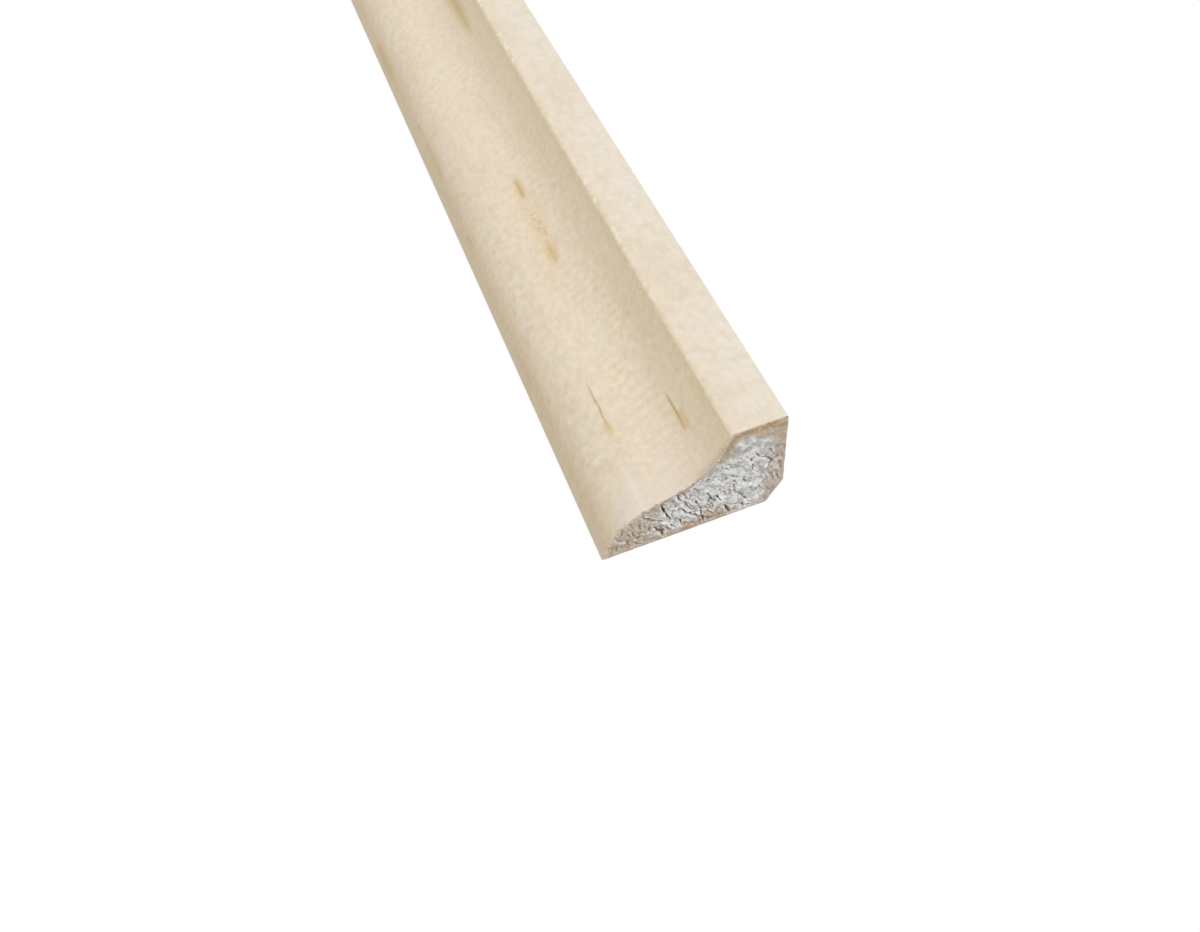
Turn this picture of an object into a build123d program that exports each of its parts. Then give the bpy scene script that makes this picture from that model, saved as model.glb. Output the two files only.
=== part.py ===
from build123d import *
from math import acos, atan2, degrees, hypot
import os

# Scotia moulding: one stick of solid wood with the same section from end to end.
# The stick lies along X. Its toe is on the -Y side, its square back on the +Y side,
# and it rests on its flat bottom at Z = 0. All sizes are in millimetres.

length = 2400.0
width = 19.0
height = 12.5

# The flat fillet along the top, measured from the back.
top_width = 5.6

# The rounded toe: a low upright edge at the bottom, then one arc that leaves it leaning in.
toe_edge_height = 0.3
toe_angle = 76.0
toe_radius = 7.5

# A short straight slope joins the toe to the hollow cove, which runs up to the fillet.
slope_length = 2.5
cove_radius = 8.5

# The bottom corner of the back is cut away so that the stick sits tight in a corner.
relief_width = 1.75
relief_height = 2.8

# The fillet's front corner is sanded round, and the three corners behind it less so.
front_round = 0.5
back_round = 0.25

front = -width / 2
back = width / 2

# Toe arc: its centre lies square to the direction in which the arc leaves the toe edge.
toe_top = Vector(front, toe_edge_height)
toe_centre = toe_top + Vector(toe_radius, 0).rotate(Axis.Z, toe_angle - 90)

# Cove arc: it ends at the fillet's front corner. The slope touches both circles from
# opposite sides, which fixes the distance between the two centres.
fillet_front = Vector(back - top_width, height)
centre_gap = hypot(toe_radius + cove_radius, slope_length)
reach = fillet_front - toe_centre
corner_angle = acos(
    (centre_gap**2 + reach.length**2 - cove_radius**2) / (2 * centre_gap * reach.length)
)
gap_angle = degrees(atan2(reach.Y, reach.X) + corner_angle)
cove_centre = toe_centre + Vector(centre_gap, 0).rotate(Axis.Z, gap_angle)

# Both tangent points lie square to the slope, one on each circle.
square_angle = gap_angle + degrees(atan2(slope_length, toe_radius + cove_radius))
slope_start = toe_centre + Vector(toe_radius, 0).rotate(Axis.Z, square_angle)
slope_end = cove_centre - Vector(cove_radius, 0).rotate(Axis.Z, square_angle)

# The corners of the back, from the fillet down to the bottom.
back_corners = [(back, height), (back, relief_height), (back - relief_width, 0)]

with BuildSketch(Plane.YZ) as section:
    with BuildLine():
        RadiusArc(toe_top, slope_start, toe_radius)
        Line(slope_start, slope_end)
        RadiusArc(slope_end, fillet_front, -cove_radius)
        Polyline(fillet_front, *back_corners, (front, 0), toe_top)
    make_face()

    # Each rounded corner is the outline's vertex nearest to the point that the outline was drawn to.
    fillet(section.vertices().sort_by_distance(fillet_front)[0], front_round)
    for corner in back_corners:
        fillet(section.vertices().sort_by_distance(corner)[0], back_round)

scotia_moulding = extrude(section.sketch, amount=length / 2, both=True)

os.makedirs("parts", exist_ok=True)
export_step(scotia_moulding, "parts/scotia_moulding.step")
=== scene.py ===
import math

import bpy
import numpy as np
from mathutils import Matrix, Vector, noise
from mathutils.geometry import delaunay_2d_cdt


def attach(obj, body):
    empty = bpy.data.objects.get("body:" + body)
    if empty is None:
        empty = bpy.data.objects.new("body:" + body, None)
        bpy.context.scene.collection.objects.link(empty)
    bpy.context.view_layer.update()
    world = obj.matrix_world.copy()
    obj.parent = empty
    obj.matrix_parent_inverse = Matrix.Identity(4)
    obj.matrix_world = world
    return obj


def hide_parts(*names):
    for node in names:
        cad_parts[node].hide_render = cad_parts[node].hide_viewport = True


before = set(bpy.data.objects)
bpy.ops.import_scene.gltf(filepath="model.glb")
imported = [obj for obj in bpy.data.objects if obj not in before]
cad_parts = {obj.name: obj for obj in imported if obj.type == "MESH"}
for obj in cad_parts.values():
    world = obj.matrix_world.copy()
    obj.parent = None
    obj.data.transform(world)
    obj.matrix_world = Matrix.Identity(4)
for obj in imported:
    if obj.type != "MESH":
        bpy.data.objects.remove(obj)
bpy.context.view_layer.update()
scene = bpy.context.scene
scene.view_settings.view_transform = "Standard"
MM = 0.001


# The camera: held about 100 mm from the sawn end, looking down along the stick. Its place
# and angles were worked out from the stick's parallel edges and its square end.
view_across = Vector((0.350397, 0.933221, -0.079498))
view_down = Vector((0.734162, -0.326375, -0.595387))
view_ahead = Vector((-0.581574, 0.150257, -0.799496))
camera_place = Vector((1254.71, -22.61, 89.94)) * MM
film_width = 36.0
photo_width = 1200
focal_pixels = 1098.3
camera_data = bpy.data.cameras.new("close_up_camera")
camera_data.sensor_fit = "HORIZONTAL"
camera_data.sensor_width = film_width
camera_data.lens = film_width * focal_pixels / photo_width
camera_data.clip_start = 0.005
camera_data.clip_end = 60.0
camera = bpy.data.objects.new("close_up_camera", camera_data)
scene.collection.objects.link(camera)
turned = Matrix((view_across, -view_down, -view_ahead)).transposed()
camera.matrix_world = Matrix.Translation(camera_place) @ turned.to_4x4()
scene.camera = camera


# The stick: one length of pale, fine-grained hardwood, run through a moulding cutter, then
# sawn square. Its toe, straight slope, cove and flat fillet are one outline, drawn here in
# millimetres from the bottom of the toe, over the top and back along the bottom.
length = 2400.0
width = 19.0
height = 12.5
top_width = 5.6
toe_edge_height = 0.3
toe_angle = math.radians(76.0)
toe_radius = 7.5
slope_length = 2.5
cove_radius = 8.5
relief_width = 1.75
relief_height = 2.8
front_round = 0.5
back_round = 0.25

front = -width / 2
back = width / 2
toe_bottom = Vector((front, 0))
toe_top = Vector((front, toe_edge_height))
toe_centre = toe_top + toe_radius * Vector((math.sin(toe_angle), -math.cos(toe_angle)))
fillet_front = Vector((back - top_width, height))
fillet_back = Vector((back, height))
relief_top = Vector((back, relief_height))
relief_bottom = Vector((back - relief_width, 0))

centre_gap = math.hypot(toe_radius + cove_radius, slope_length)
reach = fillet_front - toe_centre
gap_angle = math.atan2(reach.y, reach.x) + math.acos(
    (centre_gap**2 + reach.length**2 - cove_radius**2) / (2 * centre_gap * reach.length)
)
square_angle = gap_angle + math.atan2(slope_length, toe_radius + cove_radius)
cove_centre = toe_centre + centre_gap * Vector((math.cos(gap_angle), math.sin(gap_angle)))
square_out = Vector((math.cos(square_angle), math.sin(square_angle)))
slope_start = toe_centre + toe_radius * square_out
slope_end = cove_centre - cove_radius * square_out

# The fillet's front corner is rounded by an arc that touches the cove and the flat fillet.
round_rise = cove_centre.y - (height - front_round)
round_run = math.sqrt((cove_radius + front_round) ** 2 - round_rise**2)
round_centre = Vector((cove_centre.x + round_run, height - front_round))
cove_stop = math.atan2(*(round_centre - cove_centre).yx)
fillet_start = round_centre + Vector((0, front_round))


def along(start, end, step):
    """Points from start up to, but without, end."""
    count = max(1, round((end - start).length / step))
    return [start.lerp(end, i / count) for i in range(count)]


def around(centre, radius, first, last, step):
    """Points on an arc, without its last."""
    count = max(1, round(abs(last - first) * radius / step))
    angles = [first + (last - first) * i / count for i in range(count)]
    return [centre + radius * Vector((math.cos(a), math.sin(a))) for a in angles]


def eased(corner, before, after, steps=4):
    """The small round of a back corner."""
    to_before = (before - corner).normalized()
    to_after = (after - corner).normalized()
    half = to_before.angle(to_after) / 2
    centre = corner + (to_before + to_after).normalized() * back_round / math.sin(half)
    first = corner + to_before * back_round / math.tan(half)
    last = corner + to_after * back_round / math.tan(half)
    arc = []
    for i in range(steps + 1):
        middle = first.lerp(last, i / steps) - centre
        arc.append(centre + middle.normalized() * back_round)
    return arc


back_arris = eased(fillet_back, fillet_front, relief_top)
relief_top_arris = eased(relief_top, fillet_back, relief_bottom)
relief_bottom_arris = eased(relief_bottom, relief_top, toe_bottom)
fine_reach = 0.6
cove_fine = cove_stop - fine_reach / cove_radius
fine_fillet = fillet_start + Vector((fine_reach, 0))

outline = [toe_bottom]
outline += around(toe_centre, toe_radius, math.pi / 2 + toe_angle, square_angle, 0.16)
outline += along(slope_start, slope_end, 0.2)
outline += around(cove_centre, cove_radius, square_angle - math.pi, cove_fine, 0.2)
outline += around(cove_centre, cove_radius, cove_fine, cove_stop, 0.1)
round_from = len(outline)
outline += around(round_centre, front_round, cove_stop + math.pi, math.pi / 2, 0.08)
round_to = len(outline)
outline += along(fillet_start, fine_fillet, 0.1)
outline += along(fine_fillet, back_arris[0], 0.3)
top_to = len(outline)
outline += back_arris
outline += along(back_arris[-1], relief_top_arris[0], 0.8)[1:]
outline += relief_top_arris
outline += along(relief_top_arris[-1], relief_bottom_arris[0], 0.5)[1:]
outline += relief_bottom_arris
outline += along(relief_bottom_arris[-1], toe_bottom, 0.5)[1:]
ring = np.array([tuple(p) for p in outline])
ring_count = len(ring)
ring_next = np.roll(ring, -1, axis=0)
ring_steps = np.linalg.norm(ring_next - ring, axis=1)
girth = np.concatenate(([0.0], np.cumsum(ring_steps)))
ring_along = ring_next - np.roll(ring, 1, axis=0)
ring_along /= np.linalg.norm(ring_along, axis=1)[:, None]
ring_inward = np.stack((ring_along[:, 1], -ring_along[:, 0]), axis=1)
arris_girth = float(girth[(round_from + round_to) // 2])

# Rings of points stand close together where the stick is seen closely, and further apart
# along the rest. The bake strips start on rings.
near_length = 130.0
far_strips = 5
far_step = (length - near_length) / far_strips
rim_reach = 1.2
rim_step = 0.15
close_reach = 80.0
stations = list(np.arange(0.0, rim_reach, rim_step))
stations += list(np.arange(rim_reach, close_reach, 0.45))
stations += list(np.linspace(close_reach, near_length, 60))[:-1]
for strip in range(far_strips):
    start = near_length + strip * far_step
    stations += list(np.linspace(start, start + far_step, 13))[:-1]
stations += [length - d for d in np.arange(rim_reach, -0.01, -rim_step)]
stations = np.array(sorted(set(np.round(stations, 6))))
station_count = len(stations)


# Torn ends: a coarse saw tore the end grain into steep streaks, flakes and cracks. They are
# drawn on a fine grid over the section, as depths behind the sawn plane, in millimetres.
grid_step = 0.04
grid_margin = 0.4
across_grid, up_grid = np.meshgrid(
    np.arange(front - grid_margin, back + grid_margin, grid_step),
    np.arange(-grid_margin, height + grid_margin, grid_step),
)
net_size = 128
tear_slant = math.radians(-63.0)

# Cracks that can be told apart: half width, depth, and their route across and up.
cracks = [
    (0.10, 0.22, (-3.15, 5.6), (-2.95, 4.8), (-2.6, 3.4), (-2.2, 2.4)),
    (0.15, 0.16, (-2.65, 3.4), (-2.4, 2.9)),
    (0.09, 0.18, (-1.45, 6.1), (-1.35, 5.5), (-0.9, 4.8), (-0.45, 4.0)),
    (0.10, 0.24, (-1.15, 3.8), (-0.5, 2.5), (0.1, 2.0), (0.9, 1.1)),
    (0.11, 0.24, (-3.95, 2.3), (-3.6, 1.4), (-3.0, 0.3)),
    (0.13, 0.16, (-5.1, 4.6), (-4.4, 3.8), (-3.6, 3.2), (-3.1, 2.6)),
    (0.11, 0.14, (-6.45, 4.4), (-6.05, 3.4)),
    (0.09, 0.15, (-2.4, 1.9), (-2.0, 1.2)),
    (0.09, 0.18, (-2.0, 2.9), (-1.3, 2.0), (-1.15, 1.0)),
    (0.09, 0.14, (-6.75, 2.7), (-6.4, 2.1)),
    (0.09, 0.14, (-6.3, 2.7), (-5.9, 1.9)),
    (0.09, 0.18, (0.2, 6.3), (0.75, 5.6)),
    (0.08, 0.15, (0.35, 4.0), (0.65, 3.3)),
    (0.09, 0.20, (1.5, 4.9), (1.9, 3.9), (2.15, 3.1)),
    (0.10, 0.20, (2.3, 3.7), (3.0, 2.8)),
    (0.08, 0.14, (2.7, 6.5), (3.05, 5.8)),
    (0.10, 0.18, (3.4, 7.7), (3.8, 7.1)),
    (0.08, 0.18, (3.6, 6.5), (4.3, 5.9), (5.0, 5.6)),
    (0.09, 0.18, (4.1, 5.5), (4.45, 4.9)),
    (0.08, 0.15, (5.45, 8.6), (5.75, 8.0)),
    (0.10, 0.20, (6.35, 8.8), (6.6, 8.2), (6.85, 7.6)),
    (0.10, 0.18, (5.9, 7.7), (6.2, 7.3)),
    (0.12, 0.24, (7.1, 7.6), (7.7, 7.1), (8.3, 6.0)),
    (0.13, 0.14, (5.3, 7.2), (5.7, 7.1)),
    (0.08, 0.16, (4.7, 3.2), (5.2, 2.3), (5.8, 1.3)),
    (0.10, 0.18, (6.65, 2.9), (6.85, 2.5)),
    (0.09, 0.15, (5.0, 1.2), (5.4, 0.4)),
    (0.12, 0.22, (2.5, 2.1), (3.4, 1.8), (3.85, 0.4)),
    (0.11, 0.18, (1.6, 1.8), (2.1, 1.2)),
    (0.11, 0.15, (5.3, 4.8), (5.6, 4.4)),
]

crack_strength = 1.35

# Proud lumps that caught more paint and carry a painted highlight: across, up, half size.
lumps = [
    (1.9, 6.1, 0.28),
    (4.65, 5.45, 0.36),
    (5.4, 3.75, 0.5),
    (-4.35, 0.95, 0.24),
    (-4.7, 1.7, 0.18),
    (-5.3, 1.3, 0.16),
    (6.6, 2.3, 0.3),
    (8.7, 5.8, 0.24),
    (4.8, 10.4, 0.36),
    (-1.9, 4.5, 0.3),
    (-2.3, 2.7, 0.32),
    (-0.5, 1.6, 0.3),
    (-4.7, 4.5, 0.22),
    (7.5, 6.7, 0.34),
]
lump_rise = 0.10
lump_coat = 1.5

# The edge of the coat of paint, drawn round.
coat_edge = np.array(
    [
        (4.6, 9.1), (4.6, 10.3), (5.1, 10.9), (6.0, 10.9), (7.0, 10.1), (8.1, 9.6), (8.1, 7.6),
        (7.7, 6.7), (8.1, 5.7), (7.6, 4.6), (7.4, 3.0), (7.6, 1.4), (7.2, 0.2), (4.2, 0.2),
        (3.8, 1.3), (3.2, 2.0), (1.4, 2.1), (0.4, 2.0), (-0.5, 1.2), (-1.6, 0.6), (-2.6, 0.9),
        (-3.6, 1.7), (-3.2, 4.4), (-2.4, 5.6), (0.2, 6.4), (1.3, 7.4), (2.4, 8.6), (3.6, 8.9),
    ]
)


def smooth_share(values, low, high):
    """0 below low, 1 above high, smooth between, over a whole grid."""
    share = np.clip((values - low) / (high - low), 0.0, 1.0)
    return share * share * (3.0 - 2.0 * share)


def rolling(seed, u, v):
    """Smooth random hills from -1 to 1, about one unit wide, at the places u, v."""
    net = np.random.default_rng(seed).uniform(-1.0, 1.0, (net_size, net_size))
    left = np.floor(u).astype(int)
    low = np.floor(v).astype(int)
    into_u = smooth_share(u - left, 0.0, 1.0)
    into_v = smooth_share(v - low, 0.0, 1.0)
    rows = (low % net_size, (low + 1) % net_size)
    columns = (left % net_size, (left + 1) % net_size)
    below = net[rows[0], columns[0]] * (1 - into_u) + net[rows[0], columns[1]] * into_u
    above = net[rows[1], columns[0]] * (1 - into_u) + net[rows[1], columns[1]] * into_u
    return below * (1 - into_v) + above * into_v


def distance_from(route, across, up):
    """How far places lie from a route of straight runs."""
    nearest = np.full(np.shape(across), np.inf)
    for start, stop in zip(route[:-1], route[1:]):
        run_across, run_up = stop[0] - start[0], stop[1] - start[1]
        from_across, from_up = across - start[0], up - start[1]
        passed = (from_across * run_across + from_up * run_up) / (run_across**2 + run_up**2)
        passed = np.clip(passed, 0.0, 1.0)
        gap = np.hypot(from_across - passed * run_across, from_up - passed * run_up)
        nearest = np.minimum(nearest, gap)
    return nearest


def within(closed, across, up):
    """Which places lie inside a closed outline."""
    inside = np.zeros(np.shape(across), dtype=bool)
    for start, stop in zip(closed, np.roll(closed, -1, axis=0)):
        rise = stop[1] - start[1]
        if rise == 0:
            continue
        crosses = (start[1] > up) != (stop[1] > up)
        meets = start[0] + (up - start[1]) * (stop[0] - start[0]) / rise
        inside ^= crosses & (across < meets)
    return inside


def softened(values, rounds):
    """A grid averaged with its neighbours, round after round."""
    for _ in range(rounds):
        values = (np.roll(values, 1, 0) + 2 * values + np.roll(values, -1, 0)) / 4
        values = (np.roll(values, 1, 1) + 2 * values + np.roll(values, -1, 1)) / 4
    return values


def torn_end(side):
    """One end's grids: depth of the tears, how hollow each place is, how far inside the coat,
    and how far from the moulded edge."""
    seed = 40 * side
    across, up = across_grid, up_grid
    jog_across = 0.10 * rolling(seed + 3, across / 0.45, up / 0.45)
    jog_up = 0.10 * rolling(seed + 4, across / 0.45, up / 0.45)
    bent_across = across + 0.35 * rolling(seed + 1, across / 1.4, up / 1.4) + jog_across
    bent_up = up + 0.35 * rolling(seed + 2, across / 1.4, up / 1.4) + jog_up
    down = bent_across * math.cos(tear_slant) + bent_up * math.sin(tear_slant) + 40
    over = -bent_across * math.sin(tear_slant) + bent_up * math.cos(tear_slant) + 40

    order = over / 0.72 + 1.1 * rolling(seed + 5, down / 0.8, over / 0.8)
    flake = order - np.floor(order)
    flake = flake * (1 - smooth_share(flake, 0.8, 1.0))
    flaking = smooth_share(rolling(seed + 6, down / 1.2, over / 0.8), -0.5, 0.3)
    seam = np.abs(rolling(seed + 7, down / 0.75, over / 0.42))
    opened = smooth_share(rolling(seed + 8, down / 0.9, over / 0.6), -0.1, 0.4)
    crack = np.exp(-((seam / 0.13) ** 2)) * opened
    rough = 0.55 * rolling(seed + 9, down / 0.50, over / 0.32)
    rough += 0.32 * rolling(seed + 10, down / 0.27, over / 0.22)
    rough += 0.25 * rolling(seed + 11, across / 0.16, up / 0.16)
    broad = rolling(seed + 14, down / 1.0, over / 0.7)
    # The toe broke into flatter flakes with thin cracks between them.
    toe_part = 1 - smooth_share(across, -4.5, -2.5)
    flake_depth = 0.27 - 0.07 * toe_part
    crack_depth = 0.06 + 0.09 * toe_part
    rough_depth = 0.20 - 0.08 * toe_part
    broad_depth = 0.12
    torn = flake_depth * flaking * flake + crack_depth * crack
    torn += rough_depth * rough + broad_depth * broad

    thick_lit_coat = np.zeros(np.shape(across))
    if side == 0:
        for half_width, deep, *route in cracks:
            gap = distance_from(route, across + jog_across, up + jog_up)
            from_tips = np.minimum(
                np.hypot(across - route[0][0], up - route[0][1]),
                np.hypot(across - route[-1][0], up - route[-1][1]),
            )
            wide = half_width * (0.5 + 0.5 * smooth_share(from_tips, 0.0, 0.4))
            torn = torn + crack_strength * deep * np.exp(-((gap / wide) ** 2))
        for at_across, at_up, half_size in lumps:
            off = np.hypot(across - at_across, up - at_up) + 2 * jog_up
            heap = np.exp(-((off / half_size) ** 2))
            torn = torn - lump_rise * heap
            thick_lit_coat = thick_lit_coat + lump_coat * heap

    # The saw tore most low in the middle, and least near the top, along the moulded edge
    # and low at the back.
    low_middle = np.exp(-(((across + 0.5) / 3.0) ** 2) - ((up - 2.8) / 2.4) ** 2)
    calm_top = smooth_share(up, 6.8, 9.2)
    calm_back = smooth_share(across, 4.5, 7.0) * (1 - smooth_share(up, 3.5, 6.0))
    torn = torn * (1.15 - 0.75 * calm_top + 0.8 * low_middle - 0.42 * calm_back)
    edge = distance_from(ring[1:top_to], across, up)
    top = distance_from(ring[round_from - 30 : top_to], across, up)
    torn = torn * (0.6 + 0.4 * smooth_share(top, 0.3, 1.6))
    rim = distance_from(np.vstack((ring, ring[:1])), across, up)
    # What would stand out past the sawn plane is eased back to it.
    easing = 0.03
    depth = easing * np.logaddexp(0.0, (0.02 + torn) / easing)
    depth = depth * (0.45 + 0.55 * smooth_share(rim, 0.0, 0.5))
    depth = depth * (0.25 + 0.75 * smooth_share(up, 0.0, 0.7))
    hollow = depth - softened(depth, 30)

    coat = distance_from(np.vstack((coat_edge, coat_edge[:1])), across, up)
    coat = np.where(within(coat_edge, across, up), coat, -coat)
    wash = -0.5 - 0.25 * np.hypot(across + 4.6, up - 3.0)
    coat = np.maximum(coat, wash) + thick_lit_coat
    coat = coat + 0.40 * rolling(seed + 12, down / 1.1, over / 0.6)
    coat = coat + 0.35 * rolling(seed + 13, down / 0.5, over / 0.25)
    return depth, hollow, coat, edge


def look_up(grid, across, up):
    """The values of a grid at places between its points."""
    column = (np.asarray(across) - across_grid[0, 0]) / grid_step
    row = (np.asarray(up) - up_grid[0, 0]) / grid_step
    left, low = np.floor(column).astype(int), np.floor(row).astype(int)
    into_column, into_row = column - left, row - low
    below = grid[low, left] * (1 - into_column) + grid[low, left + 1] * into_column
    above = grid[low + 1, left] * (1 - into_column) + grid[low + 1, left + 1] * into_column
    return below * (1 - into_row) + above * into_row


def fill_end(side, spacing):
    """Triangles across one sawn end: their points, triangles, and which ring point each is."""
    chance = np.random.default_rng(31 + side)
    across, up = np.meshgrid(
        np.arange(front, back, spacing), np.arange(0.08, height, spacing * 0.866)
    )
    across[1::2] += spacing / 2
    across = (across + chance.uniform(-0.2, 0.2, across.shape) * spacing).ravel()
    up = (up + chance.uniform(-0.2, 0.2, up.shape) * spacing).ravel()
    closed_ring = np.vstack((ring, ring[:1]))
    kept = within(ring, across, up)
    kept &= distance_from(closed_ring, across, up) > 0.5 * spacing + 0.02
    points = [Vector(p) for p in ring]
    points += [Vector(p) for p in zip(across[kept], up[kept])]
    edges = [(i, (i + 1) % ring_count) for i in range(ring_count)]
    found = delaunay_2d_cdt(points, edges, [], 1, 1e-6)
    sources = [min(o) if o else -1 for o in found[3]]
    flat = np.array([tuple(p) for p in found[0]])
    return flat, found[2], [s if 0 <= s < ring_count else -1 for s in sources]


# The body between the ends. Near each end its rings follow the torn edge, and the knives
# picked small bits out of the fillet's front corner, one for each cut that they made.
knife_pitch = 1.25
crumble = 1.2
torn_ends = [torn_end(0), torn_end(1)]
edge_loss = []
for side, torn in enumerate(torn_ends):
    burrs = rolling(61 + side, girth[:-1] / 0.38, np.full(ring_count, 5.5))
    nicks = rolling(71 + side, girth[:-1] / 1.1, np.full(ring_count, 5.5))
    moulded = 1 - smooth_share(girth[:-1], girth[top_to] - 0.5, girth[top_to])
    toe_here = 1 - smooth_share(girth[:-1], 4.0, 9.0)
    lost = (0.15 + 0.12 * toe_here) * np.maximum(0.0, burrs)
    lost += (0.08 + 0.14 * toe_here) * np.maximum(0.0, nicks)
    edge_loss.append(0.8 * look_up(torn[0], ring[:, 0], ring[:, 1]) + moulded * lost)
near_share = np.clip(1 - stations / crumble, 0, 1)[:, None]
far_share = np.clip(1 - (length - stations) / crumble, 0, 1)[:, None]
behind = stations[:, None] + near_share * edge_loss[0] - far_share * edge_loss[1]

picked = []
for run in stations:
    wander = noise.noise(Vector((run * 0.45, 4.0, 0.0)))
    beat = max(0.0, math.sin(math.tau * (run / knife_pitch + 0.8 * wander)))
    patch = 0.55 + noise.noise(Vector((run * 0.16, 9.0, 0.0)))
    bite = beat**1.5 * max(0.0, patch)
    begun = min(1.0, max(0.0, (run - 9.0) / 8.0))
    left_over = min(1.0, max(0.0, (120.0 - run) / 30.0))
    picked.append(bite * (begun * left_over))
from_arris = np.abs(girth[:-1] - arris_girth)
pick_depth = 0.22
pick_width = 1 - smooth_share(from_arris, 0.12, 0.5)
pick = pick_depth * np.array(picked)[:, None] * pick_width
points = np.zeros((station_count, ring_count, 3))
points[:, :, 0] = length / 2 - behind
points[:, :, 1:] = ring + pick[:, :, None] * ring_inward
vertices = points.reshape(-1, 3).tolist()
body_points = len(vertices)

# Marks on the points that steer the look of the sawn ends: how hollow a place is, how far
# inside the coat of paint it lies, and how far from the moulded edge.
marks = {name: [0.0] * body_points for name in ("hollow", "coat", "edge")}

station_of, column_of = np.divmod(np.arange((station_count - 1) * ring_count), ring_count)
next_column = (column_of + 1) % ring_count
row_from = station_of * ring_count
row_to = row_from + ring_count
side_quads = np.stack(
    (row_from + column_of, row_to + column_of, row_to + next_column, row_from + next_column),
    axis=1,
)
faces = side_quads.tolist()
side_faces = len(faces)
end_faces = []
for side, spacing in ((0, 0.08), (1, 0.26)):
    flat, triangles, sources = fill_end(side, spacing)
    depths, *found = [look_up(grid, flat[:, 0], flat[:, 1]) for grid in torn_ends[side]]
    first_ring = (station_count - 1) * ring_count if side else 0
    numbers = []
    for place, source in enumerate(sources):
        number = first_ring + source if source >= 0 else len(vertices)
        if source < 0:
            inset = length / 2 - float(depths[place])
            vertices.append((-inset if side else inset, *flat[place].tolist()))
            for values in marks.values():
                values.append(0.0)
        for values, own in zip(marks.values(), found):
            values[number] = float(own[place])
        numbers.append(number)
    for triangle in triangles:
        corners = [numbers[t] for t in triangle]
        faces.append(corners[::-1] if side else corners)
    end_faces.append(len(faces))
vertices = (np.array(vertices) * MM).tolist()

stick_mesh = bpy.data.meshes.new("scotia_moulding_stick")
stick_mesh.from_pydata(vertices, [], faces)
stick = bpy.data.objects.new("scotia_moulding_stick", stick_mesh)
scene.collection.objects.link(stick)
for name, values in marks.items():
    stick_mesh.attributes.new(name, "FLOAT", "POINT").data.foreach_set("value", values)

# Grain map: millimetres from the photographed end, and millimetres round the outline.
# Bake map: the seen end and its first 130 mm get the most room, the rest lies in strips.
grain_map = stick_mesh.uv_layers.new(name="Grain")
bake_map = stick_mesh.uv_layers.new(name="OFBake")
bake_pixels = 1024
margin = 8.0
near_pixels = 5.0
near_scale = near_pixels / bake_pixels
far_scale_run = (bake_pixels - 2 * margin) / bake_pixels / far_step
far_scale_girth = 2.25 / bake_pixels
near_origin = np.array((margin, margin)) / bake_pixels
far_origin = np.array((margin, margin + near_pixels * girth[-1] + margin)) / bake_pixels
strip_pitch = far_scale_girth * girth[-1] + 7.0 / bake_pixels
end_scales = (15.0 / bake_pixels, 6.0 / bake_pixels)
end_origins = np.array(((676.0, 8.0), (676.0, 208.0))) / bake_pixels

corner_runs = stations[np.stack((station_of, station_of + 1, station_of + 1, station_of), 1)]
corner_girths = girth[np.stack((column_of, column_of, column_of + 1, column_of + 1), 1)]
side_grain = np.stack((corner_runs, corner_girths), axis=2)
middles = corner_runs.mean(axis=1)[:, None]
strips = np.clip((middles - near_length) // far_step, 0, far_strips - 1)
near_bake = near_origin + side_grain * near_scale
far_bake = far_origin + np.stack(
    (
        (corner_runs - near_length - strips * far_step) * far_scale_run,
        strips * strip_pitch + corner_girths * far_scale_girth,
    ),
    axis=2,
)
side_bake = np.where((middles < near_length)[:, :, None], near_bake, far_bake)

loop_points = np.zeros(len(stick_mesh.loops), dtype=int)
stick_mesh.loops.foreach_get("vertex_index", loop_points)
end_loops = loop_points[side_quads.size :]
end_places = np.array(vertices)[end_loops][:, 1:] / MM
near_loops = (end_faces[0] - side_faces) * 3
end_bake = np.vstack(
    (
        end_origins[0] + (end_places[:near_loops] - (front, 0)) * end_scales[0],
        end_origins[1] + (end_places[near_loops:] - (front, 0)) * end_scales[1],
    )
)
grain_map.data.foreach_set("uv", np.vstack((side_grain.reshape(-1, 2), end_places)).ravel())
bake_map.data.foreach_set("uv", np.vstack((side_bake.reshape(-1, 2), end_bake)).ravel())
grain_map.active_render = True

# The sawn edges and the corners of the bottom stay crisp, the rest is smooth.
edge_ends = np.zeros(len(stick_mesh.edges) * 2, dtype=int)
stick_mesh.edges.foreach_get("vertices", edge_ends)
edge_ends = edge_ends.reshape(-1, 2)
on_body = (edge_ends < body_points).all(axis=1)
edge_rows, edge_columns = np.divmod(edge_ends, ring_count)
toe_edges = (edge_columns[:, 0] == edge_columns[:, 1]) & (edge_columns[:, 0] <= 1)
same_row = edge_rows[:, 0] == edge_rows[:, 1]
sawn_edges = same_row & np.isin(edge_rows[:, 0], (0, station_count - 1))
crisp = on_body & (toe_edges | sawn_edges)
crisp_layer = stick_mesh.attributes.new("sharp_edge", "BOOLEAN", "EDGE")
crisp_layer.data.foreach_set("value", crisp.tolist())
stick_mesh.polygons.foreach_set("use_smooth", [True] * len(faces))


def colour(red, green, blue):
    """A colour given as it looks on screen, from 0 to 255, as the shader needs it."""
    parts = []
    for part in (red, green, blue):
        share = part / 255
        low = share / 12.92
        high = ((share + 0.055) / 1.055) ** 2.4
        parts.append(low if share <= 0.04045 else high)
    return (*parts, 1.0)


def feed(tree, socket, value):
    """Gives an input a value, or links it to an output."""
    if isinstance(value, bpy.types.NodeSocket):
        tree.links.new(value, socket)
    else:
        socket.default_value = value


def place_node(tree, kind, values=None, **settings):
    """Adds a node, with its settings and its inputs."""
    node = tree.nodes.new(kind)
    for name, value in settings.items():
        setattr(node, name, value)
    for name, value in (values or {}).items():
        feed(tree, node.inputs[name], value)
    return node


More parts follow.
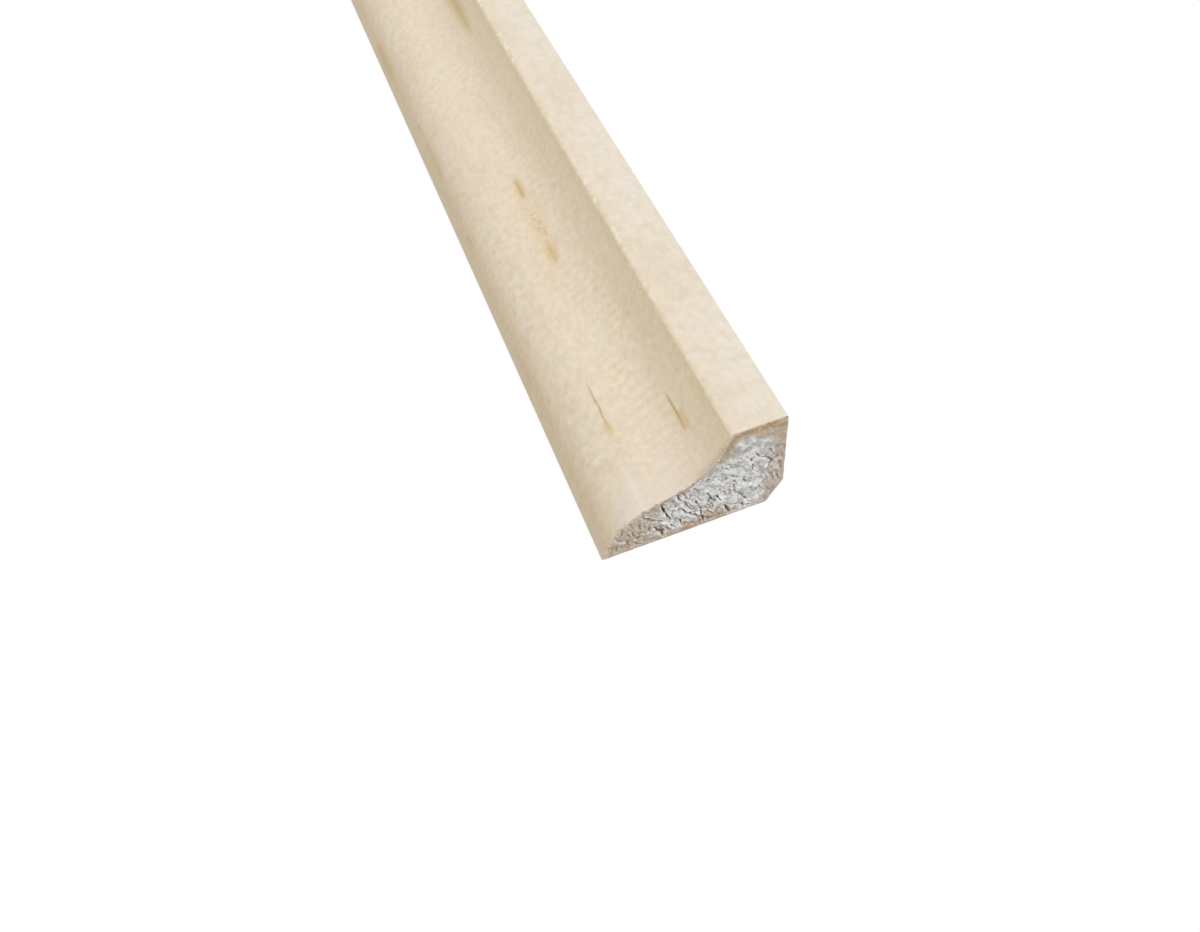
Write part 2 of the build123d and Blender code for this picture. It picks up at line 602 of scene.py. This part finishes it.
def reckon(tree, operation, a, b=0.0, c=0.0, clamp=False):
    """One sum on numbers."""
    values = {0: a, 1: b, 2: c}
    node = place_node(tree, "ShaderNodeMath", values, operation=operation, use_clamp=clamp)
    return node.outputs[0]


def fade(tree, value, low, high):
    """0 below low, 1 above high, smooth between."""
    values = {"Value": value, "From Min": low, "From Max": high}
    node = place_node(tree, "ShaderNodeMapRange", values, interpolation_type="SMOOTHSTEP")
    return node.outputs["Result"]


def times(tree, a, b, clamp=False):
    """Two numbers multiplied."""
    return reckon(tree, "MULTIPLY", a, b, clamp=clamp)


def weighed(tree, value, weight, start):
    """A number times a weight, added to what it starts from."""
    return reckon(tree, "MULTIPLY_ADD", value, weight, start)


def centred(tree, value):
    """Noise moved down to lie round 0."""
    return reckon(tree, "SUBTRACT", value, 0.5)


def rest_of(tree, value, clamp=False):
    """What a share leaves of 1."""
    return reckon(tree, "SUBTRACT", 1.0, value, clamp=clamp)


def fade_out(tree, value, low, high):
    """1 below low, 0 above high, smooth between."""
    return rest_of(tree, fade(tree, value, low, high))


def stretch(tree, value, rise, fall):
    """1 along a stretch that begins and ends with smooth steps, 0 beyond."""
    return reckon(
        tree, "SUBTRACT", fade(tree, value, *rise), fade(tree, value, *fall), clamp=True
    )


def blend_colours(tree, share, under, over, kind="MIX"):
    """Two colours mixed by a share."""
    node = place_node(tree, "ShaderNodeMix", data_type="RGBA", blend_type=kind)
    for number, value in ((0, share), (6, under), (7, over)):
        feed(tree, node.inputs[number], value)
    return node.outputs[2]


def tinted(tree, under, tint, mask, strength):
    """A colour with a tint, given from 0 to 255, laid over it."""
    return blend_colours(tree, times(tree, mask, strength), under, colour(*tint))


def scaled(tree, place, scale):
    """Places with their own scale along each axis."""
    return place_node(tree, "ShaderNodeMapping", {"Vector": place, "Scale": scale}).outputs[0]


def noise_at(tree, place, scale, detail, roughness):
    """The outputs of a noise node, read at scaled places."""
    values = {
        "Vector": scaled(tree, place, scale),
        "Scale": 1.0,
        "Detail": detail,
        "Roughness": roughness,
    }
    return place_node(tree, "ShaderNodeTexNoise", values).outputs


def cloud(tree, place, squeeze, size, detail=2.0, roughness=0.5):
    """Soft noise whose patches are about size across, less where it is squeezed."""
    scale = tuple(s / size for s in squeeze)
    return noise_at(tree, place, scale, detail, roughness)["Fac"]


def new_group(name, inputs, outputs):
    """A shader node group with named sockets; gives its tree, input and output nodes."""
    tree = bpy.data.node_groups.new(name, "ShaderNodeTree")
    for label, kind, start in inputs:
        socket = tree.interface.new_socket(label, in_out="INPUT", socket_type=kind)
        if start is not None:
            socket.default_value = start
    for label, kind in outputs:
        tree.interface.new_socket(label, in_out="OUTPUT", socket_type=kind)
    return tree, tree.nodes.new("NodeGroupInput"), tree.nodes.new("NodeGroupOutput")


def use_group(tree, group, values):
    """Adds a node group with its inputs; gives its outputs."""
    return place_node(tree, "ShaderNodeGroup", values, node_tree=group).outputs


def new_skin(name):
    """A material of one matt shader; gives it, its tree and the shader."""
    material = bpy.data.materials.new(name)
    material.use_nodes = True
    tree = material.node_tree
    tree.nodes.clear()
    out = place_node(tree, "ShaderNodeOutputMaterial")
    skin = place_node(tree, "ShaderNodeBsdfPrincipled", {"Specular IOR Level": 0.3})
    tree.links.new(skin.outputs[0], out.inputs["Surface"])
    return material, tree, skin


# Cloudy tone: the drift from cream to greyer and yellower wood, in every cut face, over
# patches from a few millimetres down to single fibres.
tone_tree, tone_in, tone_out = new_group(
    "Cloudy tone",
    [
        ("Place", "NodeSocketVector", None),
        ("Colour", "NodeSocketColor", colour(230, 216, 192)),
        ("Greyer", "NodeSocketColor", colour(214, 200, 178)),
        ("Yellower", "NodeSocketColor", colour(233, 214, 178)),
        ("Amount", "NodeSocketFloat", 1.0),
        ("Speckle", "NodeSocketFloat", 0.3),
    ],
    [("Colour", "NodeSocketColor"), ("Fine", "NodeSocketFloat")],
)
tone_place = tone_in.outputs["Place"]
wide = cloud(tone_tree, tone_place, (0.45, 1.0, 1.0), 7.0, 3.0, 0.55)
small = cloud(tone_tree, tone_place, (0.8, 1.0, 1.0), 1.5, 3.0, 0.6)
other = cloud(tone_tree, tone_place, (0.8, 1.1, 1.3), 2.3, 3.0, 0.6)
grey_share = times(tone_tree, fade(tone_tree, wide, 0.45, 0.72), 0.5)
small_share = times(tone_tree, fade(tone_tree, small, 0.42, 0.72), 0.6)
grey_share = reckon(tone_tree, "ADD", grey_share, small_share, clamp=True)
grey_share = times(tone_tree, grey_share, tone_in.outputs["Amount"], clamp=True)
yellow_share = times(tone_tree, fade(tone_tree, other, 0.46, 0.75), 0.5)
yellow_share = times(tone_tree, yellow_share, tone_in.outputs["Amount"], clamp=True)
toned = blend_colours(tone_tree, grey_share, tone_in.outputs["Colour"], tone_in.outputs["Greyer"])
toned = blend_colours(tone_tree, yellow_share, toned, tone_in.outputs["Yellower"])
fine = noise_at(tone_tree, tone_place, (1.15, 1.35, 1.35), 3.0, 0.55)["Fac"]
hues = noise_at(tone_tree, tone_place, (0.6, 0.75, 0.75), 3.0, 0.6)["Color"]
hue_parts = place_node(tone_tree, "ShaderNodeSeparateColor", {0: hues})
fine_colour = place_node(tone_tree, "ShaderNodeCombineColor")
for channel, weight in enumerate((0.85, 1.0, 1.3)):
    own = centred(tone_tree, hue_parts.outputs[channel])
    level = weighed(tone_tree, own, 0.28, times(tone_tree, centred(tone_tree, fine), weight))
    level = weighed(tone_tree, level, tone_in.outputs["Speckle"], 1.0)
    tone_tree.links.new(level, fine_colour.inputs[channel])
toned = blend_colours(tone_tree, 1.0, toned, fine_colour.outputs[0], "MULTIPLY")
tone_tree.links.new(toned, tone_out.inputs["Colour"])
tone_tree.links.new(fine, tone_out.inputs["Fine"])

# Curly figure: faint ripples across the grain, bowed like drapes, in a band round the
# outline where the fibres wave.
curl_tree, curl_in, curl_out = new_group(
    "Curly figure",
    [
        ("Place", "NodeSocketVector", None),
        ("Pitch", "NodeSocketFloat", 1.3),
        ("Centre", "NodeSocketFloat", 12.0),
        ("Reach", "NodeSocketFloat", 2.5),
        ("Bow", "NodeSocketFloat", 2.0),
    ],
    [("Ripple", "NodeSocketFloat")],
)
curl_place = curl_in.outputs["Place"]
curl_parts = place_node(curl_tree, "ShaderNodeSeparateXYZ", {0: curl_place})
off_centre = reckon(curl_tree, "SUBTRACT", curl_parts.outputs[1], curl_in.outputs["Centre"])
off_share = reckon(curl_tree, "DIVIDE", off_centre, curl_in.outputs["Reach"])
off_square = times(curl_tree, off_share, off_share)
in_band = fade_out(curl_tree, off_square, 0.0, 1.0)
slow = cloud(curl_tree, curl_place, (0.6, 1.0, 1.0), 4.0, 2.0)
quick = cloud(curl_tree, curl_place, (1.0, 0.8, 1.0), 1.3, 2.0)
bent = times(curl_tree, centred(curl_tree, slow), 9.0)
bent = weighed(curl_tree, centred(curl_tree, quick), 6.0, bent)
bent = weighed(curl_tree, off_square, curl_in.outputs["Bow"], bent)
turns = reckon(curl_tree, "DIVIDE", curl_parts.outputs[0], curl_in.outputs["Pitch"])
phase = weighed(curl_tree, turns, math.tau, bent)
patch = fade(curl_tree, cloud(curl_tree, curl_place, (0.5, 1.0, 1.0), 2.5), 0.36, 0.62)
ripple = times(curl_tree, reckon(curl_tree, "SINE", phase), patch)
curl_tree.links.new(times(curl_tree, ripple, in_band), curl_out.inputs["Ripple"])

# Pith fleck: a short brown streak along the grain where the growing wood healed.
fleck_tree, fleck_in, fleck_out = new_group(
    "Pith fleck",
    [
        ("Place", "NodeSocketVector", None),
        ("Centre", "NodeSocketVector", None),
        ("Half length", "NodeSocketFloat", 3.0),
        ("Half width", "NodeSocketFloat", 0.15),
        ("Breaks", "NodeSocketFloat", 0.0),
    ],
    [("Core", "NodeSocketFloat"), ("Halo", "NodeSocketFloat")],
)
fleck_place = fleck_in.outputs["Place"]
from_centre = place_node(
    fleck_tree,
    "ShaderNodeVectorMath",
    {0: fleck_place, 1: fleck_in.outputs["Centre"]},
    operation="SUBTRACT",
)
fleck_parts = place_node(fleck_tree, "ShaderNodeSeparateXYZ", {0: from_centre.outputs[0]})
drift = cloud(fleck_tree, fleck_place, (0.35, 0.2, 1.0), 1.0, 2.0)
drift = times(fleck_tree, centred(fleck_tree, drift), 0.28)
share_long = reckon(fleck_tree, "DIVIDE", fleck_parts.outputs[0], fleck_in.outputs["Half length"])
off_line = reckon(fleck_tree, "ADD", fleck_parts.outputs[1], drift)
share_wide = reckon(fleck_tree, "DIVIDE", off_line, fleck_in.outputs["Half width"])
taper = reckon(fleck_tree, "POWER", reckon(fleck_tree, "ABSOLUTE", share_long), 2.6)
spread = times(fleck_tree, share_wide, share_wide)
solid_parts = cloud(fleck_tree, fleck_place, (2.2, 1.6, 1.0), 1.0, 1.0)
gaps = fade_out(fleck_tree, solid_parts, 0.42, 0.56)
kept_share = rest_of(fleck_tree, times(fleck_tree, fleck_in.outputs["Breaks"], gaps))
for label, narrowing in (("Core", 1.0), ("Halo", 0.13)):
    off_heart = reckon(fleck_tree, "ADD", taper, times(fleck_tree, spread, narrowing))
    mask = fade_out(fleck_tree, off_heart, 0.0, 1.0)
    mask = times(fleck_tree, mask, kept_share, clamp=True)
    fleck_tree.links.new(mask, fleck_out.inputs[label])
fleck_halo = (216, 183, 118)
fleck_core = (174, 136, 72)

# Planed wood: cut clean by the moulding knives and left bare, so it is matt, with fine
# fibre lines, faint knife marks, and a paler, fuzzy corner where the cutters met.
planed, wood, wood_skin = new_skin("planed_pale_hardwood")
grain = place_node(wood, "ShaderNodeUVMap", uv_map="Grain").outputs[0]
grain_parts = place_node(wood, "ShaderNodeSeparateXYZ", {0: grain})
run_at, girth_at = grain_parts.outputs[0], grain_parts.outputs[1]

# The flat fillet, from its rounded front corner to just past the back corner.
on_top = fade(wood, girth_at, arris_girth - 0.1, arris_girth + 0.3)
off_top = fade(wood, girth_at, arris_girth + 5.4, arris_girth + 6.2)
top_share = reckon(wood, "SUBTRACT", on_top, off_top, clamp=True)

# Painted shade and painted bounce light, by place round the outline: the toe, turned away
# from the lamp, is painted a shade darker and browner than the open slope, a little less so
# at its foot, and the cove is painted warmer, most near its top, as if lit by light thrown
# back from the wood. The fillet is warmer along its front.
toe_shade_share = fade_out(wood, girth_at, 2.0, 5.5)
foot_shade_share = fade_out(wood, girth_at, 0.3, 2.2)
cove_warm_bounce_share = reckon(wood, "SUBTRACT", fade(wood, girth_at, 12.0, 15.0), on_top, clamp=True)
cove_share = reckon(wood, "SUBTRACT", fade(wood, girth_at, 15.5, 18.0), on_top, clamp=True)
fillet_base = blend_colours(
    wood,
    fade(wood, girth_at, arris_girth + 0.3, arris_girth + 3.8),
    colour(238, 225, 206),
    colour(239, 228, 213),
)
base = blend_colours(wood, top_share, colour(238, 223, 201), fillet_base)
base = blend_colours(wood, toe_shade_share, base, colour(228, 209, 178))
base = blend_colours(wood, foot_shade_share, base, colour(235, 217, 188))
base = blend_colours(wood, cove_warm_bounce_share, base, colour(237, 221, 195))
base = blend_colours(wood, cove_share, base, colour(246, 228, 195))
greyer = blend_colours(wood, 1.0, base, colour(247, 244, 236), "MULTIPLY")
yellower = blend_colours(wood, 1.0, base, colour(254, 251, 240), "MULTIPLY")

# The drift shows most on the fillet and the slope, and least in the cove under the fillet.
on_slope = stretch(wood, girth_at, (3.0, 4.5), (7.5, 9.5))
drift_amount = weighed(wood, top_share, 0.55, 1.0)
drift_amount = weighed(wood, on_slope, 0.5, drift_amount)
drift_amount = weighed(wood, cove_share, -0.5, drift_amount)

# Further from the end, the fibres lie calmer.
calmer = fade(wood, run_at, 25.0, 60.0)
speckle_amount = weighed(wood, top_share, -0.10, 0.34)
speckle_amount = weighed(wood, calmer, -0.08, speckle_amount)
tone = use_group(
    wood,
    tone_tree,
    {
        "Place": grain,
        "Colour": base,
        "Greyer": greyer,
        "Yellower": yellower,
        "Amount": drift_amount,
        "Speckle": speckle_amount,
    },
)
wood_colour = tone["Colour"]

# Curl shows in three bands: bows in the cove, bars on the slope, and faintly all over.
ripple_here = 0.0
for pitch, centre, band_reach, bow, share in (
    (1.25, 12.4, 2.6, 3.0, 1.0),
    (2.35, 5.8, 1.3, 0.3, 1.1),
    (1.5, 9.5, 8.0, 6.0, 0.35),
):
    values = {"Place": grain, "Pitch": pitch, "Centre": centre, "Reach": band_reach, "Bow": bow}
    ripple = use_group(wood, curl_tree, values)["Ripple"]
    ripple_here = weighed(wood, ripple, share, ripple_here)
fibre_lines = cloud(wood, grain, (0.05, 1.0, 1.0), 0.22, 3.0, 0.6)
fibre_part = times(wood, centred(wood, fibre_lines), 0.05)
ripple_depth = weighed(wood, calmer, -0.010, 0.036)
lines = weighed(wood, ripple_here, ripple_depth, fibre_part)
levels = {i: weighed(wood, lines, w, 1.0) for i, w in enumerate((0.8, 1.0, 1.4))}
level_colour = place_node(wood, "ShaderNodeCombineColor", levels)
wood_colour = blend_colours(wood, 1.0, wood_colour, level_colour.outputs[0], "MULTIPLY")

# The flecks that the photographed stretch shows: place along, place round, half length,
# half width, breaks, strength of the core, strength of the halo.
seen_flecks = [
    (13.4, 8.10, 4.1, 0.18, 0.3, 0.52, 0.16),
    (10.6, 8.05, 1.3, 0.24, 0.0, 0.0, 0.34),
    (7.7, 14.80, 3.0, 0.18, 0.2, 0.62, 0.20),
    (6.3, 15.05, 1.5, 0.28, 0.0, 0.0, 0.50),
    (35.9, 11.15, 2.3, 0.34, 0.3, 0.26, 0.40),
    (42.0, 11.20, 9.4, 0.62, 0.3, 0.0, 0.24),
    (41.5, 11.05, 4.6, 0.30, 0.9, 0.14, 0.10),
    (41.0, 11.55, 3.6, 0.24, 0.9, 0.16, 0.10),
    (48.0, 11.25, 2.4, 0.28, 0.0, 0.36, 0.42),
    (46.8, 2.50, 1.4, 0.24, 0.0, 0.20, 0.18),
    (62.5, 2.80, 4.8, 0.46, 0.0, 0.14, 0.24),
    (70.0, 2.80, 2.6, 0.26, 0.5, 0.16, 0.12),
    (89.0, 2.20, 6.0, 0.55, 0.0, 0.10, 0.30),
    (87.0, 15.50, 10.5, 0.56, 0.0, 0.22, 0.48),
]
for along_at, round_at, half_long, half_wide, breaks, core_share, halo_share in seen_flecks:
    values = {
        "Place": grain,
        "Centre": (along_at, round_at, 0.0),
        "Half length": half_long,
        "Half width": half_wide,
        "Breaks": breaks,
    }
    fleck = use_group(wood, fleck_tree, values)
    wood_colour = tinted(wood, wood_colour, fleck_halo, fleck["Halo"], halo_share)
    wood_colour = tinted(wood, wood_colour, fleck_core, fleck["Core"], core_share)

# Along the rest of the stick, such flecks are scattered thinly, at most one to a cell.
cell_size = (34.0, 3.4, 1.0)
in_cells = scaled(wood, grain, tuple(1 / s for s in cell_size))
cells = place_node(
    wood,
    "ShaderNodeTexVoronoi",
    {"Vector": in_cells, "Scale": 1.0},
    voronoi_dimensions="2D",
    feature="F1",
)
cell_heart = scaled(wood, cells.outputs["Position"], cell_size)
cell_chance = place_node(wood, "ShaderNodeSeparateColor", {0: cells.outputs["Color"]})
chosen = reckon(wood, "GREATER_THAN", cell_chance.outputs[0], 0.72)
chosen = times(wood, chosen, fade(wood, run_at, 100.0, 106.0))
chosen = times(wood, chosen, cell_chance.outputs[1])
scattered = use_group(
    wood,
    fleck_tree,
    {
        "Place": grain,
        "Centre": cell_heart,
        "Half length": 3.7,
        "Half width": 0.22,
        "Breaks": 0.4,
    },
)
for label, tint, strength in (("Halo", fleck_halo, 0.4), ("Core", fleck_core, 0.5)):
    part = times(wood, scattered[label], chosen)
    wood_colour = tinted(wood, wood_colour, tint, part, strength)

# The picked, paler fibres of the front corner, and the pale scuff where the saw came through,
# whose pale bits are also a painted highlight along the sawn edge.
arris_off = reckon(wood, "ABSOLUTE", reckon(wood, "SUBTRACT", girth_at, arris_girth))
tick = cloud(wood, grain, (1.3, 0.9, 1.0), 0.9, 2.0, 0.6)
past_end = fade(wood, run_at, 8.0, 18.0)
tick_share = times(wood, fade(wood, tick, 0.50, 0.62), past_end)
tick_share = times(wood, tick_share, fade_out(wood, arris_off, 0.12, 0.5))
wood_colour = tinted(wood, wood_colour, (252, 242, 222), tick_share, 0.75)
scuff = fade_out(wood, run_at, 0.15, 0.9)
bits = cloud(wood, grain, (1.0, 1.0, 1.0), 0.45, 3.0, 0.6)
pale_scuff_highlight = times(wood, scuff, fade(wood, bits, 0.52, 0.66))
dull_bits = times(wood, scuff, fade(wood, rest_of(wood, bits), 0.5, 0.66))
dull_bits = times(wood, dull_bits, rest_of(wood, top_share))
wood_colour = tinted(wood, wood_colour, (248, 239, 224), pale_scuff_highlight, 0.7)
wood_colour = tinted(wood, wood_colour, (204, 187, 164), dull_bits, 0.6)

# Beside the saw cut the cove is dulled, and a faint, pale veil lies over the slope.
dulled = fade_out(wood, run_at, 0.0, 0.9)
dulled = times(wood, dulled, fade(wood, bits, 0.36, 0.56))
dulled = times(wood, dulled, stretch(wood, girth_at, (12.0, 14.5), (17.6, 18.3)))
wood_colour = tinted(wood, wood_colour, (197, 178, 156), dulled, 0.75)
veil = stretch(wood, girth_at, (3.5, 6.0), (11.0, 14.0))
veil = times(wood, veil, fade_out(wood, run_at, 0.5, 7.0))
wood_colour = tinted(wood, wood_colour, (238, 224, 217), veil, 0.4)

# A pale score line on the slope starts at the sawn edge: a scratch, whose paleness is also
# a painted highlight on a slight ridge.
values = {"Place": grain, "Centre": (1.5, 7.6, 0.0), "Half length": 6.5, "Half width": 0.2}
score = use_group(wood, fleck_tree, values)
score_highlight_share = times(wood, score["Halo"], 0.25)
score_highlight_share = weighed(wood, score["Core"], 0.25, score_highlight_share)
wood_colour = blend_colours(wood, score_highlight_share, wood_colour, colour(244, 234, 224))
wood.links.new(wood_colour, wood_skin.inputs["Base Color"])

wood_rough = weighed(wood, tone["Fine"], 0.2, 0.5)
wood.links.new(wood_rough, wood_skin.inputs["Roughness"])
knife = reckon(wood, "SINE", times(wood, run_at, math.tau / knife_pitch))
relief = weighed(wood, fibre_lines, 0.6, tone["Fine"])
relief = weighed(wood, knife, 0.08, relief)
relief = weighed(wood, ripple_here, 0.3, relief)
relief = weighed(wood, tick_share, 1.2, relief)
wood_bump = place_node(
    wood, "ShaderNodeBump", {"Height": relief, "Strength": 0.5, "Distance": 0.018 * MM}
)
wood.links.new(wood_bump.outputs[0], wood_skin.inputs["Normal"])
stick_mesh.materials.append(planed)

# Sawn end: torn end grain, sealed with one thin coat of pale grey paint against checking.
# The coat misses the margins and the deep cracks, where brown, fuzzy end grain shows.
sawn, end, end_skin = new_skin("sawn_painted_end_grain")
end_place = place_node(end, "ShaderNodeUVMap", uv_map="Grain").outputs[0]
end_parts = place_node(end, "ShaderNodeSeparateXYZ", {0: end_place})
hollow_here, coat_here, edge_here = (
    place_node(end, "ShaderNodeAttribute", attribute_name=name).outputs["Fac"] for name in marks
)
steep = place_node(
    end, "ShaderNodeMapping", {"Vector": end_place, "Rotation": (0.0, 0.0, -tear_slant)}
).outputs[0]

end_tone = use_group(
    end,
    tone_tree,
    {
        "Place": end_place,
        "Colour": colour(206, 194, 180),
        "Greyer": colour(192, 182, 168),
        "Yellower": colour(204, 182, 152),
        "Amount": 1.4,
        "Speckle": 0.6,
    },
)

# The bare end grain: browner under the fillet, stained along the bottom and the rim, and
# with a few pale spots.
near_top = times(end, fade(end, end_parts.outputs[1], 10.2, 11.4), 0.8)
top_stain = cloud(end, end_place, (0.7, 1.0, 1.0), 1.3, 2.0, 0.5)
top_colour = blend_colours(
    end, fade(end, top_stain, 0.4, 0.6), colour(212, 192, 163), colour(180, 149, 115)
)
stain = cloud(end, steep, (0.6, 1.2, 1.0), 1.1, 3.0, 0.6)
near_bottom = fade_out(end, end_parts.outputs[1], 0.6, 2.6)
near_edge = fade_out(end, edge_here, 0.3, 1.5)
past_toe = weighed(end, fade(end, end_parts.outputs[0], -4.0, -1.0), 0.5, 0.2)
near_rims = weighed(end, near_bottom, past_toe, times(end, near_edge, 0.55))
stain_share = times(end, fade(end, stain, 0.45, 0.65), 0.65)
stain_share = reckon(end, "ADD", near_rims, stain_share, clamp=True)
stained = blend_colours(end, stain_share, end_tone["Colour"], colour(184, 162, 136))
bare = blend_colours(end, near_top, stained, top_colour)
spots = fade(end, cloud(end, steep, (0.6, 1.3, 1.0), 0.5, 2.0, 0.55), 0.58, 0.70)
spots = times(end, spots, rest_of(end, near_top, clamp=True))
bare = tinted(end, bare, (244, 236, 230), spots, 0.75)

# The coat of paint: frayed at its edge, thicker on proud lumps, gone from the deep cracks.
# Painted highlights lie on the lumps and ridges, and painted shade in the hollows and cracks.
fray = centred(end, cloud(end, steep, (0.5, 1.3, 1.0), 0.3, 4.0, 0.65))
coat = weighed(end, fray, 1.6, coat_here)
coat = weighed(end, hollow_here, -5.0, coat)
coat_share = fade(end, coat, -0.45, 0.45)
paint_cloud = cloud(end, steep, (0.8, 1.0, 1.0), 0.9, 4.0, 0.7)
paint = blend_colours(
    end, fade(end, paint_cloud, 0.38, 0.62), colour(247, 247, 245), colour(185, 184, 181)
)
# Whiter where the coat is thick, with a painted highlight on the proud lumps.
thick_lit_coat = fade(end, coat_here, 1.5, 3.4)
paint = tinted(end, paint, (251, 250, 247), thick_lit_coat, 0.3)
end_colour = blend_colours(end, times(end, coat_share, 0.95), bare, paint)
# Painted highlight on the ridges, painted shade in the hollows and cracks.
ridge_highlight = fade(end, times(end, hollow_here, -1.0), 0.0, 0.08)
end_colour = tinted(end, end_colour, (250, 247, 242), ridge_highlight, 0.5)
hollow_shade = fade(end, hollow_here, 0.0, 0.15)
end_colour = tinted(end, end_colour, (110, 98, 86), hollow_shade, 0.9)

# Torn fibres at the moulded edge still carry the planed wood's cream, in tufts at the toe.
tufts = centred(end, cloud(end, steep, (0.8, 1.2, 1.0), 0.55, 3.0, 0.6))
at_toe = fade_out(end, end_parts.outputs[0], -5.5, -3.0)
fringe = weighed(end, at_toe, 2.0, 1.0)
frayed_edge = weighed(end, fray, 1.0, edge_here)
frayed_edge = weighed(end, times(end, tufts, at_toe), 3.0, frayed_edge)
cream = fade_out(end, reckon(end, "DIVIDE", frayed_edge, fringe), 0.0, 0.35)
end_colour = tinted(end, end_colour, (232, 216, 190), cream, 0.75)
end.links.new(end_colour, end_skin.inputs["Base Color"])
end_rough = weighed(end, coat_share, -0.18, 0.85)
end.links.new(end_rough, end_skin.inputs["Roughness"])
fuzz = cloud(end, end_place, (1.0, 1.0, 1.0), 0.13, 3.0, 0.7)
end_bump = place_node(
    end, "ShaderNodeBump", {"Height": fuzz, "Strength": 0.5, "Distance": 0.04 * MM}
)
end.links.new(end_bump.outputs[0], end_skin.inputs["Normal"])
stick_mesh.materials.append(sawn)
slots = [0] * side_faces + [1] * (len(faces) - side_faces)
stick_mesh.polygons.foreach_set("material_index", slots)
stick_mesh.update()

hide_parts("scotia_moulding")
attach(stick, "root")


# The stage: a plain floor that looks white to the camera but keeps the stick's soft
# shadow, one broad lamp overhead and an even surround.
floor_reach = 30.0
floor_corners = [
    (-floor_reach, -floor_reach, 0),
    (floor_reach, -floor_reach, 0),
    (floor_reach, floor_reach, 0),
    (-floor_reach, floor_reach, 0),
]
floor_mesh = bpy.data.meshes.new("floor")
floor_mesh.from_pydata(floor_corners, [], [(0, 1, 2, 3)])
floor = bpy.data.objects.new("floor", floor_mesh)
scene.collection.objects.link(floor)
floor.location.z = -0.05 * MM


def seen_straight(tree):
    """1 for rays that show a thing itself or its mirror image, 0 for light that bounces."""
    rays = place_node(tree, "ShaderNodeLightPath")
    total = reckon(tree, "ADD", rays.outputs["Is Camera Ray"], rays.outputs["Is Glossy Ray"])
    return reckon(tree, "ADD", total, rays.outputs["Is Transmission Ray"], clamp=True)


floor_look = bpy.data.materials.new("white_floor")
floor_look.use_nodes = True
ground = floor_look.node_tree
ground.nodes.clear()
ground_out = place_node(ground, "ShaderNodeOutputMaterial")
ground_seen = seen_straight(ground)
ground_colour = blend_colours(ground, ground_seen, (0.68, 0.68, 0.68, 1.0), (1.0, 1.0, 1.0, 1.0))
matt = place_node(ground, "ShaderNodeBsdfDiffuse", {"Color": ground_colour})
white = place_node(ground, "ShaderNodeEmission", {"Color": (1, 1, 1, 1), "Strength": 1.03})
white_share = times(ground, ground_seen, 0.8)
both = place_node(
    ground, "ShaderNodeMixShader", {0: white_share, 1: matt.outputs[0], 2: white.outputs[0]}
)
ground.links.new(both.outputs[0], ground_out.inputs["Surface"])
floor_mesh.materials.append(floor_look)

surround = bpy.data.worlds.new("white_surround")
scene.world = surround
surround.use_nodes = True
sky = surround.node_tree
sky.nodes.clear()
sky_out = place_node(sky, "ShaderNodeOutputWorld")
sky_level = place_node(
    sky, "ShaderNodeMapRange", {"Value": seen_straight(sky), "To Min": 0.53, "To Max": 1.0}
)
sky_light = place_node(
    sky,
    "ShaderNodeBackground",
    {"Color": (1, 1, 1, 1), "Strength": sky_level.outputs["Result"]},
)
sky.links.new(sky_light.outputs[0], sky_out.inputs["Surface"])

lamp_data = bpy.data.lights.new("overhead_lamp", "SUN")
lamp_data.energy = 1.5
lamp_data.angle = math.radians(40)
lamp = bpy.data.objects.new("overhead_lamp", lamp_data)
scene.collection.objects.link(lamp)
lamp.rotation_euler = Vector((0.38, 0.2, 1.0)).to_track_quat("Z", "Y").to_euler()
